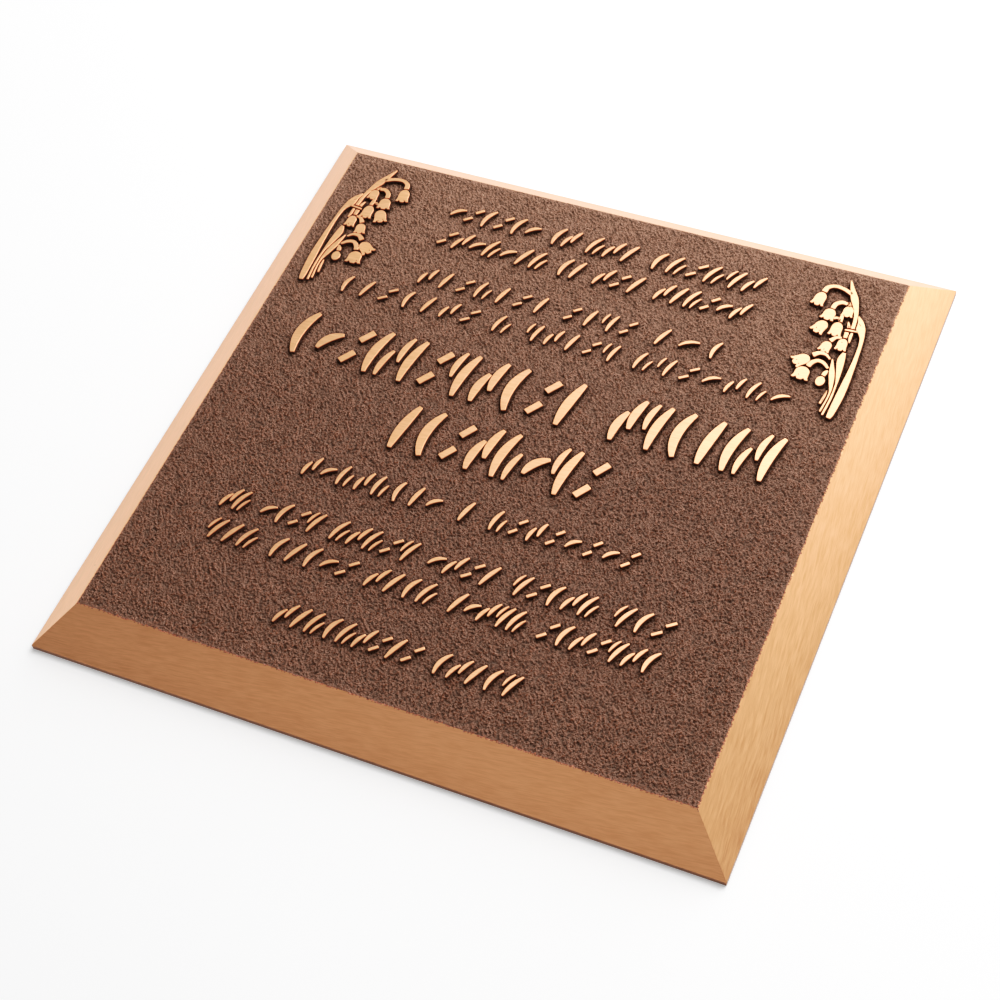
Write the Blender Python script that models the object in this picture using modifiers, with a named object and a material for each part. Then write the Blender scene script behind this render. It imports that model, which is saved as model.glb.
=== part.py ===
"""Flat grave marker in cast bronze, in one piece: bevelled sides, a hollow back, and, raised on a flat
panel, ten rows of abstract strokes with a spray of lily of the valley in each upper corner.

Metres, +Z up. The origin is the centre of the underside, level with the rim that the marker rests on.
The rows run along +X and their heads point to +Y.
"""

import math
import random
from collections import namedtuple

import bmesh
import bpy
from mathutils import Vector

# The casting
SIDE = 0.380
LIP_HEIGHT = 0.0032
PANEL_HEIGHT = 0.0238
BEVEL_INSET = 0.0219

# The hollow back, whose sides follow the bevel
RIM_WIDTH = 0.008
PLATE_THICKNESS = 0.006
HOLLOW_FILLET = 0.004
FILLET_SEGMENTS = 3

# The relief above the panel, how far its pieces run down into the plate, and the bare ground between
# the sprays and the panel's edge
RELIEF = 0.0020
ROOT = PLATE_THICKNESS / 3
GROUND_MARGIN = 0.0095

# The relief is laid out from the panel's centre, in units that its width fits to the panel.
# Rows of strokes: the foot line, the height, the lean, the gap between groups of strokes, and each
# group as its number of places and its width. Every row is centred on the panel
Row = namedtuple("Row", "foot height lean gap groups")
UPRIGHT = 0.0
LEANING = math.tan(math.radians(14))
SMALL_GAP = 7.2
LARGE_GAP = 16.7
ROWS = (
    Row(134.5, 13.0, LEANING, SMALL_GAP, ((6, 56), (2, 15), (3, 29.5), (6, 66))),
    Row(114.0, 13.0, LEANING, SMALL_GAP, ((7, 67), (2, 14.5), (3, 29), (6, 53))),
    Row(84.3, 12.0, UPRIGHT, SMALL_GAP, ((7, 81), (4, 44), (3, 45))),
    Row(65.0, 12.0, UPRIGHT, SMALL_GAP, ((7, 88.5), (1, 12.5), (5, 56), (7, 89.5))),
    Row(16.0, 30.0, UPRIGHT, LARGE_GAP, ((11, 175), (6, 93))),
    Row(-26.3, 30.0, UPRIGHT, LARGE_GAP, ((8, 122),)),
    Row(-57.5, 13.0, UPRIGHT, SMALL_GAP, ((8, 82), (1, 12), (8, 82))),
    Row(-90.0, 13.0, LEANING, SMALL_GAP, ((2, 15), (4, 35), (5, 47), (4, 39), (5, 47), (3, 32))),
    Row(-110.0, 13.0, LEANING, SMALL_GAP, ((3, 30), (5, 49), (4, 39), (5, 41), (7, 63))),
    Row(-145.0, 13.0, LEANING, SMALL_GAP, ((9, 79.5), (5, 45.5))),
)

# The figures that fill the places in a seeded order, each a few strokes that don't touch. A stroke has
# its foot and its head, across and up the place from 0 to 1, its bow to the left as a share of its
# length, and its weight as a share of the row's full weight. It bends at a station for each
# BOW_PER_STATION of bow
Stroke = namedtuple("Stroke", "foot head bow weight")
FIGURES = (
    (Stroke((0.08, 0.00), (0.50, 1.00), 0.09, 1.25), Stroke((0.60, 0.00), (0.92, 0.62), 0.07, 0.85)),
    (Stroke((0.24, 0.00), (0.70, 1.00), 0.05, 1.35),),
    (Stroke((0.08, 0.10), (0.52, 0.36), 0, 2.2), Stroke((0.48, 0.64), (0.92, 0.90), 0, 2.2)),
    (Stroke((0.04, 0.40), (0.30, 1.00), 0.08, 0.85), Stroke((0.48, 0.00), (0.88, 1.00), 0.07, 1.25)),
    (Stroke((0.10, 0.00), (0.38, 0.68), 0.08, 1.15), Stroke((0.66, 0.32), (0.96, 1.00), 0.08, 1.15)),
    (Stroke((0.06, 0.24), (0.94, 0.66), 0.14, 1.2),),
    (Stroke((0.40, 0.00), (0.66, 1.00), 0.13, 1.35),),
)
FIGURE_SEED = 5
PLACE_FILL = 0.80
STROKE_WEIGHT = 0.135
STROKE_END = 0.42
BOW_PER_STATION = 1.3

# The right spray. Leaves and stalks have points (x, y, width) along their middle. A flower has its
# crown, the turn of its mouth to the left in degrees, its width and its length
LEAVES = (
    ((155.0, 65.8, 2.2), (155.5, 70, 3.5), (156.4, 84, 4.1), (156.7, 99, 2.9), (156.5, 112, 2.0),
     (155.8, 121, 2.1), (154.6, 125.2, 3.2), (153.1, 128.4, 4.8), (151.9, 132.6, 3.2), (149.4, 136.8, 0.8)),
    ((138.0, 160.0, 0.8), (140.2, 155, 2.2), (143.4, 148.3, 4.0), (146.1, 142.2, 2.9),
     (148.1, 135.5, 2.0), (148.9, 127.4, 2.0)),
    ((149.8, 110.2, 1.8), (149.6, 105, 3.9), (150.8, 97.5, 3.0), (152.1, 88.5, 1.1),
     (152.3, 78, 1.1), (151.4, 66.8, 1.1)),
    ((145.2, 104.2, 0.6), (147.5, 95.6, 2.9), (149.3, 89, 2.5), (150.7, 81, 0.9), (149.6, 68.6, 1.0)),
    ((148.8, 83.0, 0.6), (148.7, 79, 1.2), (148.0, 73.6, 1.1)),
)
STALKS = (
    ((141.4, 150.6, 2.3), (136.6, 152.9, 2.2), (131.2, 153.6, 2.2), (127.4, 151.4, 2.6), (126.5, 147.9, 3.0)),
    ((141.1, 143.3, 2.0), (138.0, 143.6, 2.4), (135.2, 141.4, 2.6), (134.4, 138.0, 2.6)),
    ((137.0, 131.4, 1.4), (138.3, 132.2, 1.6), (139.5, 132.4, 1.6)),
    ((140.9, 135.0, 1.6), (140.9, 132.6, 2.2), (141.2, 130.0, 2.0)),
    ((145.3, 131.4, 0.6), (146.2, 129.2, 1.5), (146.7, 127.4, 1.6)),
    ((145.2, 125.6, 1.0), (148.6, 126.0, 1.2), (152.6, 126.2, 0.8)),
    ((146.7, 124.3, 2.3), (146.9, 120.2, 2.0)),
    ((149.5, 124.6, 1.3), (149.5, 121.0, 1.6), (150.0, 117.6, 0.7)),
    ((145.3, 119.7, 1.2), (142.4, 118.9, 1.9), (140.1, 115.9, 2.8)),
    ((143.9, 103.7, 1.0), (141.0, 106.1, 1.7), (137.4, 106.2, 2.4), (134.4, 103.7, 3.0)),
    ((144.8, 97.4, 1.4), (141.8, 100.1, 2.0), (138.2, 100.9, 2.2), (135.4, 98.4, 2.7), (134.4, 95.6, 2.6)),
    ((145.2, 95.9, 0.9), (144.4, 94.2, 2.2), (143.9, 92.0, 2.3)),
)
STALK_STATIONS = 5
SPRAY_REACH = max(x + width / 2 for leaf in LEAVES for x, _, width in leaf)
UNIT = (SIDE / 2 - BEVEL_INSET - GROUND_MARGIN) / SPRAY_REACH

Flower = namedtuple("Flower", "x y turn width length")
FLOWERS = (
    Flower(126.4, 147.3, 8, 7.2, 9.8),
    Flower(134.4, 137.4, 8, 7.6, 8.2),
    Flower(143.0, 142.0, 0, 6.3, 7.6),
    Flower(133.8, 128.0, 22, 7.8, 9.4),
    Flower(140.7, 129.5, 0, 7.0, 9.8),
    Flower(146.8, 119.3, 0, 6.2, 8.4),
    Flower(139.8, 115.0, 11, 6.5, 7.6),
    Flower(133.3, 101.8, 50, 8.2, 9.6),
    Flower(133.0, 94.6, 4, 9.0, 8.8),
)
BUD = Flower(143.7, 91.3, 3, 4.9, 6.6)

# A flower seen from the side, as shares of its width and length: its crown is half an oval, and its
# mouth flares and has three lobes
CROWN_WIDTH = 0.86
CROWN_DEPTH = 0.42
CROWN_POINTS = 5
MOUTH = ((0.50, 0.94), (0.22, 0.86), (0.12, 1.00), (-0.12, 1.00), (-0.22, 0.86), (-0.50, 0.94))
BUD_POINTS = 8

# Cast bronze between its brown patina and its bright ground edges
BRONZE_COLOUR = (0.36, 0.20, 0.10, 1.0)
BRONZE_ROUGHNESS = 0.42


def clear_scene():
    for scene_object in list(bpy.data.objects):
        bpy.data.objects.remove(scene_object, do_unlink=True)


def new_collection(name):
    collection = bpy.data.collections.new(name)
    bpy.context.scene.collection.children.link(collection)
    return collection


def bronze_material():
    material = bpy.data.materials.new("cast_bronze")
    material.use_nodes = True
    shader = material.node_tree.nodes["Principled BSDF"]
    shader.inputs["Base Color"].default_value = BRONZE_COLOUR
    shader.inputs["Metallic"].default_value = 1.0
    shader.inputs["Roughness"].default_value = BRONZE_ROUGHNESS
    return material


def object_from_bmesh(shape, name, collection):
    mesh = bpy.data.meshes.new(name)
    shape.to_mesh(mesh)
    shape.free()
    made = bpy.data.objects.new(name, mesh)
    collection.objects.link(made)
    return made


def hide_helper(helper):
    helper.hide_render = True
    helper.display_type = "WIRE"


def make_body(collection):
    """A square block as high as the lip, with its top drawn up and in to form the bevelled sides."""
    shape = bmesh.new()
    bmesh.ops.create_cube(shape, size=1.0)
    bmesh.ops.scale(shape, vec=(SIDE, SIDE, LIP_HEIGHT), verts=shape.verts)
    bmesh.ops.translate(shape, vec=(0, 0, LIP_HEIGHT / 2), verts=shape.verts)
    shape.normal_update()
    top = [face for face in shape.faces if face.normal.z > 0.5]
    bmesh.ops.inset_region(shape, faces=top, thickness=BEVEL_INSET)
    bmesh.ops.translate(shape, vec=(0, 0, PANEL_HEIGHT - LIP_HEIGHT), verts=top[0].verts)
    return object_from_bmesh(shape, "cast_bronze_plaque", collection)


def make_hollow(collection):
    """The cutter of the hollow back: a four-sided cone with the bevel's slope, its edges filleted."""
    slope = BEVEL_INSET / (PANEL_HEIGHT - LIP_HEIGHT)
    ceiling = PANEL_HEIGHT - PLATE_THICKNESS
    below = LIP_HEIGHT
    half_mouth = SIDE / 2 - RIM_WIDTH
    shape = bmesh.new()
    bmesh.ops.create_cone(
        shape,
        cap_ends=True,
        segments=4,
        radius1=(half_mouth + slope * below) * math.sqrt(2),
        radius2=(half_mouth - slope * ceiling) * math.sqrt(2),
        depth=ceiling + below,
    )
    cutter = object_from_bmesh(shape, "hollow_cutter", collection)
    cutter.rotation_euler.z = math.radians(45)
    cutter.location.z = (ceiling - below) / 2
    fillet = cutter.modifiers.new("fillet", "BEVEL")
    fillet.width = HOLLOW_FILLET
    fillet.segments = FILLET_SEGMENTS
    hide_helper(cutter)
    return cutter


def smooth_points(points, stations):
    """Evenly spaced stations on the smooth curve that runs through all the points."""
    knots = [Vector(point) for point in points]
    knots = [2 * knots[0] - knots[1], *knots, 2 * knots[-1] - knots[-2]]
    spans = len(points) - 1
    for station in range(stations):
        along = station * spans / (stations - 1)
        span = min(int(along), spans - 1)
        t = along - span
        before, start, end, after = knots[span:span + 4]
        bend = (2 * before - 5 * start + 4 * end - after) * t * t
        twist = (3 * start - before - 3 * end + after) * t * t * t
        yield start + ((end - before) * t + bend + twist) / 2


def ribbon_outline(middle):
    """The outline of a ribbon from the points (x, y, width) of its middle."""
    left = []
    right = []
    for index, point in enumerate(middle):
        ahead = middle[min(index + 1, len(middle) - 1)].xy
        behind = middle[max(index - 1, 0)].xy
        side = (ahead - behind).orthogonal().normalized() * point.z / 2
        left.append(point.xy + side)
        right.append(point.xy - side)
    return left + right[::-1]


def stroke_outline(stroke, corner, width, row):
    """A bowed stroke of a figure, thickest at its middle, in the place whose lower left is the corner."""
    def in_row(share):
        up = share[1] * row.height
        return Vector((corner + share[0] * width + up * row.lean, row.foot + up))

    foot = in_row(stroke.foot)
    head = in_row(stroke.head)
    bow = (head - foot).orthogonal() * stroke.bow
    stations = 2 + math.ceil(bow.length / BOW_PER_STATION)
    middle = []
    for station in range(stations):
        t = station / (stations - 1)
        swell = 4 * t * (1 - t)
        point = foot.lerp(head, t) + bow * swell
        thickness = stroke.weight * STROKE_WEIGHT * row.height * (STROKE_END + (1 - STROKE_END) * swell)
        middle.append(Vector((*point, thickness)))
    return ribbon_outline(middle)


def row_outlines(row, order):
    """The outlines of one row's strokes, with its groups side by side and the whole row centred."""
    length = sum(width for _, width in row.groups) + row.gap * (len(row.groups) - 1)
    start = -(length + row.height * row.lean) / 2
    figure = FIGURES[0]
    outlines = []
    for places, group_width in row.groups:
        pitch = group_width / places
        for place in range(places):
            figure = order.choice([other for other in FIGURES if other is not figure])
            corner = start + (place + (1 - PLACE_FILL) / 2) * pitch
            outlines += [stroke_outline(stroke, corner, PLACE_FILL * pitch, row) for stroke in figure]
        start += group_width + row.gap
    return outlines


def flower_outline(flower):
    """A hanging flower from its crown, anticlockwise down to its lobed mouth and back."""
    half_crown = CROWN_WIDTH * flower.width / 2
    depth = CROWN_DEPTH * flower.length
    shape = []
    for step in range(CROWN_POINTS):
        angle = math.pi * step / (CROWN_POINTS - 1)
        shape.append(Vector((-half_crown * math.cos(angle), depth * (math.sin(angle) - 1))))
    shape += [Vector((across * flower.width, -down * flower.length)) for across, down in MOUTH]
    turn = -math.radians(flower.turn)
    return [turned(point, turn) + Vector((flower.x, flower.y)) for point in shape]


def bud_outline(bud):
    """A closed oval bud, flat where its stalk meets it."""
    centre = Vector((0, -bud.length / 2))
    shape = []
    for step in range(BUD_POINTS):
        angle = 2 * math.pi * (step + 0.5) / BUD_POINTS
        shape.append(centre + Vector((math.sin(angle) * bud.width / 2, math.cos(angle) * bud.length / 2)))
    turn = -math.radians(bud.turn)
    return [turned(point, turn) + Vector((bud.x, bud.y)) for point in shape]


def turned(point, angle):
    """The point turned anticlockwise about the origin."""
    return Vector((
        point.x * math.cos(angle) - point.y * math.sin(angle),
        point.x * math.sin(angle) + point.y * math.cos(angle),
    ))


def mirrored(outlines):
    """The outlines of the right spray, and the same ones on the left."""
    return outlines + [[Vector((-point.x, point.y)) for point in outline] for outline in outlines]


def make_relief(name, outlines, collection):
    """A closed mesh of the outlines, from its roots in the plate up to the face of the relief."""
    curve = bpy.data.curves.new(name, "CURVE")
    curve.dimensions = "2D"
    curve.fill_mode = "BOTH"
    curve.extrude = (RELIEF + ROOT) / 2
    for outline in outlines:
        spline = curve.splines.new("POLY")
        spline.points.add(len(outline) - 1)
        spline.use_cyclic_u = True
        for point, place in zip(spline.points, outline):
            point.co = (place.x * UNIT, place.y * UNIT, 0, 1)
    drawn = bpy.data.objects.new(name + "_outlines", curve)
    drawn.location.z = PANEL_HEIGHT + (RELIEF - ROOT) / 2
    collection.objects.link(drawn)
    bpy.context.view_layer.update()
    evaluated = drawn.evaluated_get(bpy.context.evaluated_depsgraph_get())
    mesh = bpy.data.meshes.new_from_object(evaluated)
    shape = bmesh.new()
    shape.from_mesh(mesh)
    bmesh.ops.remove_doubles(shape, verts=shape.verts, dist=1e-6)
    bmesh.ops.recalc_face_normals(shape, faces=shape.faces)
    shape.to_mesh(mesh)
    shape.free()
    relief = bpy.data.objects.new(name, mesh)
    relief.matrix_world = drawn.matrix_world
    collection.objects.link(relief)
    bpy.data.objects.remove(drawn)
    hide_helper(relief)
    return relief


def add_boolean(body, operand, operation):
    modifier = body.modifiers.new(operand.name, "BOOLEAN")
    modifier.operation = operation
    modifier.object = operand
    modifier.solver = "EXACT"


def main():
    clear_scene()
    parts = new_collection("flat_grave_marker")
    helpers = new_collection("cutters_and_relief")

    order = random.Random(FIGURE_SEED)
    strokes = [outline for row in ROWS for outline in row_outlines(row, order)]
    leaves = mirrored([ribbon_outline([Vector(point) for point in leaf]) for leaf in LEAVES])
    stalks = mirrored([ribbon_outline(list(smooth_points(stalk, STALK_STATIONS))) for stalk in STALKS])
    flowers = mirrored([flower_outline(flower) for flower in FLOWERS] + [bud_outline(BUD)])

    body = make_body(parts)
    body.data.materials.append(bronze_material())
    add_boolean(body, make_hollow(helpers), "DIFFERENCE")
    add_boolean(body, make_relief("strokes", strokes, helpers), "UNION")
    add_boolean(body, make_relief("spray_leaves", leaves, helpers), "UNION")
    add_boolean(body, make_relief("spray_stalks", stalks, helpers), "UNION")
    add_boolean(body, make_relief("spray_flowers", flowers, helpers), "UNION")


main()
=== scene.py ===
"""Looks of the flat grave marker: a satin bronze bevel round a pebbled ground with a brown patina, and the
rows of strokes and the two sprays raised on it.

Metres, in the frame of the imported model. The layout repeats the one in the part's source, with finer outlines.
"""

import math
import random
from collections import namedtuple

import bmesh
import bpy
import numpy as np
from mathutils import Matrix, Vector


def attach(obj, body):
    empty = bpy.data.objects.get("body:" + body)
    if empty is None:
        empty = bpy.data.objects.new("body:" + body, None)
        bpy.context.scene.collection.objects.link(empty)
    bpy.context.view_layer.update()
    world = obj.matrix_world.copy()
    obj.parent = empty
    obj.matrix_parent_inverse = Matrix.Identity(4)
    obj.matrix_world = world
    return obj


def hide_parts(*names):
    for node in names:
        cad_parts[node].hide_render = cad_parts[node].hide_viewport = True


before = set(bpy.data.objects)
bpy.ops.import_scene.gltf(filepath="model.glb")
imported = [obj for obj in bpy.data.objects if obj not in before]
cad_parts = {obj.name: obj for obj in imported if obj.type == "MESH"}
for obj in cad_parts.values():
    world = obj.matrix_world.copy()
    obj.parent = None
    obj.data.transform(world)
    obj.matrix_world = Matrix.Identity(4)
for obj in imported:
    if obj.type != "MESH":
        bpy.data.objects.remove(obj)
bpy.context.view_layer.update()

NODE = "cast_bronze_plaque"

# The casting, as in the part's source
SIDE = 0.380
LIP_HEIGHT = 0.0032
PANEL_HEIGHT = 0.0238
BEVEL_INSET = 0.0219
RIM_WIDTH = 0.008
PLATE_THICKNESS = 0.006
HOLLOW_FILLET = 0.004
FILLET_SEGMENTS = 8
RELIEF = 0.0020
GROUND_MARGIN = 0.0095
BEVEL_SLOPE = (PANEL_HEIGHT - LIP_HEIGHT) / BEVEL_INSET
ARRIS = 0.00022
ARRIS_SEGMENTS = 3

# Edges turning by more than this are arrises. The bevel turns by less where the rough ground begins
ARRIS_ANGLE = math.radians(45)

# The rough ground: a grid of heights in four pieces. It runs out over the top of the bevel, whose plane cuts
# its bumps off in a ragged line
GROUND_OVERLAP = 0.0012
GROUND_CELLS = 612
GROUND_SEED = 11
GROUND_HALF = SIDE / 2 - BEVEL_INSET + GROUND_OVERLAP
GROUND_BASE = PANEL_HEIGHT - GROUND_OVERLAP * BEVEL_SLOPE

# Its bumps: their usual height, the shortest and longest waves of each kind, and the shares of the wrinkles
# and the swell beside the pebbles. A wrinkle's ridge is CREST high and falls off by FALL at most
GROUND_RISE = 0.00038
PEBBLE_WAVES = (0.0011, 0.0042)
WRINKLE_WAVES = (0.0015, 0.0050)
WRINKLE_SHARE = 0.7
WRINKLE_CREST = 0.5
WRINKLE_FALL = 1.2
SWELL_WAVES = (0.006, 0.030)
SWELL_SHARE = 0.3

# How far the level that the bumps rise and fall from lies under the panel, how far the lowest point stays
# over the base, and the difference below which two heights are the same
GROUND_SINK = 0.00004
GROUND_LEAST = 0.00005
HEIGHT_TOLERANCE = 1e-7

# Near the border the bumps are lower: by the share CALM at its line, and by less within a few REACH of it
BORDER_CALM = 0.70
BORDER_REACH = 0.0012

# The darkening round the relief, partly real patina in the ground there and partly painted shade at the foot of
# its walls: the relief's outline, spread by this much, times this gain, and 1 at most
PATINA_SHADE_SPREAD = 0.0014
PATINA_SHADE_GAIN = 4.0

# How far the walls of the relief run down into the ground, how far they flare per metre of height, and the
# radius of the arris on top of them
RELIEF_ROOT = 0.0009
WALL_FLARE = 0.16
RELIEF_ARRIS = 0.00014

# Faces whose normal is this upright are flat faces, and edges that turn by more than this stay sharp
FLAT_NORMAL = 0.9999
SHARP_ANGLE = math.radians(40)

# Corners of an outline that turn by more than this are rounded off, over at most this share of each side.
# The inset at a corner grows no further than this cosine allows
ROUNDED_TURN = math.radians(28)
ROUNDED_SHARE = 0.4
LEAST_COSINE = 0.7

# The camera of the photograph
AZIMUTH = math.radians(31.176)
ELEVATION = math.radians(54.055)
ROLL = math.radians(-9.811)
TARGET = Vector((0.0095 * SIDE, -0.0599 * SIDE, 0))
DISTANCE = 2.8481 * SIDE
LENS = 73.25
SENSOR_WIDTH = 36
CLIP_START = 0.01

# Rows of strokes, as in the part's source. Their lengths and those of the sprays are in UNIT, about 1 mm
Row = namedtuple("Row", "foot height lean gap groups")
UPRIGHT = 0.0
LEANING = math.tan(math.radians(14))
SMALL_GAP = 7.2
LARGE_GAP = 16.7
ROWS = (
    Row(134.5, 13.0, LEANING, SMALL_GAP, ((6, 56), (2, 15), (3, 29.5), (6, 66))),
    Row(114.0, 13.0, LEANING, SMALL_GAP, ((7, 67), (2, 14.5), (3, 29), (6, 53))),
    Row(84.3, 12.0, UPRIGHT, SMALL_GAP, ((7, 81), (4, 44), (3, 45))),
    Row(65.0, 12.0, UPRIGHT, SMALL_GAP, ((7, 88.5), (1, 12.5), (5, 56), (7, 89.5))),
    Row(16.0, 30.0, UPRIGHT, LARGE_GAP, ((11, 175), (6, 93))),
    Row(-26.3, 30.0, UPRIGHT, LARGE_GAP, ((8, 122),)),
    Row(-57.5, 13.0, UPRIGHT, SMALL_GAP, ((8, 82), (1, 12), (8, 82))),
    Row(-90.0, 13.0, LEANING, SMALL_GAP, ((2, 15), (4, 35), (5, 47), (4, 39), (5, 47), (3, 32))),
    Row(-110.0, 13.0, LEANING, SMALL_GAP, ((3, 30), (5, 49), (4, 39), (5, 41), (7, 63))),
    Row(-145.0, 13.0, LEANING, SMALL_GAP, ((9, 79.5), (5, 45.5))),
)
Stroke = namedtuple("Stroke", "foot head bow weight")
FIGURES = (
    (Stroke((0.08, 0.00), (0.50, 1.00), 0.09, 1.25), Stroke((0.60, 0.00), (0.92, 0.62), 0.07, 0.85)),
    (Stroke((0.24, 0.00), (0.70, 1.00), 0.05, 1.35),),
    (Stroke((0.08, 0.10), (0.52, 0.36), 0, 2.2), Stroke((0.48, 0.64), (0.92, 0.90), 0, 2.2)),
    (Stroke((0.04, 0.40), (0.30, 1.00), 0.08, 0.85), Stroke((0.48, 0.00), (0.88, 1.00), 0.07, 1.25)),
    (Stroke((0.10, 0.00), (0.38, 0.68), 0.08, 1.15), Stroke((0.66, 0.32), (0.96, 1.00), 0.08, 1.15)),
    (Stroke((0.06, 0.24), (0.94, 0.66), 0.14, 1.2),),
    (Stroke((0.40, 0.00), (0.66, 1.00), 0.13, 1.35),),
)
FIGURE_SEED = 5
PLACE_FILL = 0.80
STROKE_WEIGHT = 0.135
STROKE_END = 0.42
STROKE_STATIONS = 13
STROKE_CORNER = 0.28

# The right spray, as in the part's source
LEAVES = (
    ((155.0, 65.8, 2.2), (155.5, 70, 3.5), (156.4, 84, 4.1), (156.7, 99, 2.9), (156.5, 112, 2.0),
     (155.8, 121, 2.1), (154.6, 125.2, 3.2), (153.1, 128.4, 4.8), (151.9, 132.6, 3.2), (149.4, 136.8, 0.8)),
    ((138.0, 160.0, 0.8), (140.2, 155, 2.2), (143.4, 148.3, 4.0), (146.1, 142.2, 2.9),
     (148.1, 135.5, 2.0), (148.9, 127.4, 2.0)),
    ((149.8, 110.2, 1.8), (149.6, 105, 3.9), (150.8, 97.5, 3.0), (152.1, 88.5, 1.1),
     (152.3, 78, 1.1), (151.4, 66.8, 1.1)),
    ((145.2, 104.2, 0.6), (147.5, 95.6, 2.9), (149.3, 89, 2.5), (150.7, 81, 0.9), (149.6, 68.6, 1.0)),
    ((148.8, 83.0, 0.6), (148.7, 79, 1.2), (148.0, 73.6, 1.1)),
)
STALKS = (
    ((141.4, 150.6, 2.3), (136.6, 152.9, 2.2), (131.2, 153.6, 2.2), (127.4, 151.4, 2.6), (126.5, 147.9, 3.0)),
    ((141.1, 143.3, 2.0), (138.0, 143.6, 2.4), (135.2, 141.4, 2.6), (134.4, 138.0, 2.6)),
    ((137.0, 131.4, 1.4), (138.3, 132.2, 1.6), (139.5, 132.4, 1.6)),
    ((140.9, 135.0, 1.6), (140.9, 132.6, 2.2), (141.2, 130.0, 2.0)),
    ((145.3, 131.4, 0.6), (146.2, 129.2, 1.5), (146.7, 127.4, 1.6)),
    ((145.2, 125.6, 1.0), (148.6, 126.0, 1.2), (152.6, 126.2, 0.8)),
    ((146.7, 124.3, 2.3), (146.9, 120.2, 2.0)),
    ((149.5, 124.6, 1.3), (149.5, 121.0, 1.6), (150.0, 117.6, 0.7)),
    ((145.3, 119.7, 1.2), (142.4, 118.9, 1.9), (140.1, 115.9, 2.8)),
    ((143.9, 103.7, 1.0), (141.0, 106.1, 1.7), (137.4, 106.2, 2.4), (134.4, 103.7, 3.0)),
    ((144.8, 97.4, 1.4), (141.8, 100.1, 2.0), (138.2, 100.9, 2.2), (135.4, 98.4, 2.7), (134.4, 95.6, 2.6)),
    ((145.2, 95.9, 0.9), (144.4, 94.2, 2.2), (143.9, 92.0, 2.3)),
)
LEAF_STATIONS = 34
STALK_STATIONS = 17
Flower = namedtuple("Flower", "x y turn width length")
FLOWERS = (
    Flower(126.4, 147.3, 8, 7.2, 9.8),
    Flower(134.4, 137.4, 8, 7.6, 8.2),
    Flower(143.0, 142.0, 0, 6.3, 7.6),
    Flower(133.8, 128.0, 22, 7.8, 9.4),
    Flower(140.7, 129.5, 0, 7.0, 9.8),
    Flower(146.8, 119.3, 0, 6.2, 8.4),
    Flower(139.8, 115.0, 11, 6.5, 7.6),
    Flower(133.3, 101.8, 50, 8.2, 9.6),
    Flower(133.0, 94.6, 4, 9.0, 8.8),
)
BUD = Flower(143.7, 91.3, 3, 4.9, 6.6)
CROWN_WIDTH = 0.86
CROWN_DEPTH = 0.42
CROWN_POINTS = 13
MOUTH = (
    (0.43, 0.62), (0.46, 0.80), (0.54, 0.94), (0.36, 0.97), (0.24, 0.84), (0.13, 1.00),
    (-0.13, 1.00), (-0.24, 0.84), (-0.36, 0.97), (-0.54, 0.94), (-0.46, 0.80), (-0.43, 0.62),
)
BUD_POINTS = 24

# A short stalk too fine for the solid, the dots in the flowers of each spray, and the groove in the fold
# of the outer leaf. A groove also parts each crown from its stalk, over a sweep of degrees round the crown
FINE_STALK = ((141.4, 145.0, 0.8), (142.2, 143.8, 1.3), (142.9, 141.4, 1.5))
DOTS_RIGHT = (
    (130.3, 122.4), (132.5, 120.9), (146.4, 116.7), (138.8, 109.3), (127.3, 98.0), (129.2, 95.7), (131.5, 88.8),
)
DOTS_LEFT = (
    (-124.2, 139.2), (-129.5, 121.7), (-131.8, 120.2), (-147.3, 112.7), (-144.5, 111.3), (-126.5, 97.7),
    (-128.3, 95.2), (-130.5, 88.2),
)
DOT_RADIUS = 0.34
DOT_SIDES = 12
GROOVE_WIDTH = 0.34
GROOVE_DEPTH = 0.0007
GROOVE_POINTS = 15
GROOVE_START = 25
GROOVE_SWEEP = 130
LEAF_GROOVE = ((151.0, 132.0), (151.8, 131.3), (152.5, 130.5))
SPRAY_CORNER = 0.35
SPRAY_REACH = max(x + width / 2 for leaf in LEAVES for x, _, width in leaf)
UNIT = (SIDE / 2 - BEVEL_INSET - GROUND_MARGIN) / SPRAY_REACH

# Colours, in linear light
LIGHT_BRONZE = (0.962, 0.443, 0.212)
WORN_BRONZE = (0.826, 0.359, 0.157)
FACE_TARNISH = (0.375, 0.204, 0.186)
BROWN_PATINA = (0.082, 0.019, 0.004)
DARK_PATINA = (0.016, 0.005, 0.002)
RUBBED_PATINA = (0.152, 0.033, 0.006)
PIT_PATINA = (0.034, 0.010, 0.002)
BACK_SHEEN_PATINA = (0.22, 0.10, 0.055)
PATINA_TINT = (1.0, 0.75, 0.60, 1.0)
DARK_SKIN = (0.060, 0.027, 0.014)
PALE_SKIN = (0.125, 0.060, 0.031)
RED_EDGE = (0.80, 0.17, 0.06)

# How much of the dark patina and painted shade round the relief shows where it is full, how metallic the
# ground is without it and with it, and the patina's refractive index
PATINA_SHADE_DARKNESS = 0.85
PATINA_METALLIC = 0.08
PATINA_SHADE_METALLIC = 0.90
PATINA_IOR = 1.57

# How metallic the cast skin of the back is
SKIN_METALLIC = 0.75

# Heights over the panel where the patina is that of the pits and that of the rubbed crests
CREST_HEIGHTS = (-0.00092, 0.00062)

# Painted sheen: the patina is painted paler towards the head of the marker, where the lamps stand behind it,
# from the first y to the second, by this share
BACK_SHEEN_START = -0.01
BACK_SHEEN_END = 0.17
BACK_SHEEN_SHARE = 0.6

# Depths under the bevel's plane where its bright bronze ends and the patina is full
PATINA_DEPTHS = (0.000001, 0.000004)

# The red line at the ragged border: depths under the bevel's plane where it is full and gone, and its share
BORDER_RED = (0.00003, 0.00022)
BORDER_RED_SHARE = 0.45

# Depths under the face of the relief between which the walls turn red, metallic and bright
RED_DEPTHS = (0.00065, 0.00035)
METAL_DEPTHS = (0.0003, 0.0001)
BRIGHT_DEPTHS = (0.00012, 0.00004)

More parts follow.
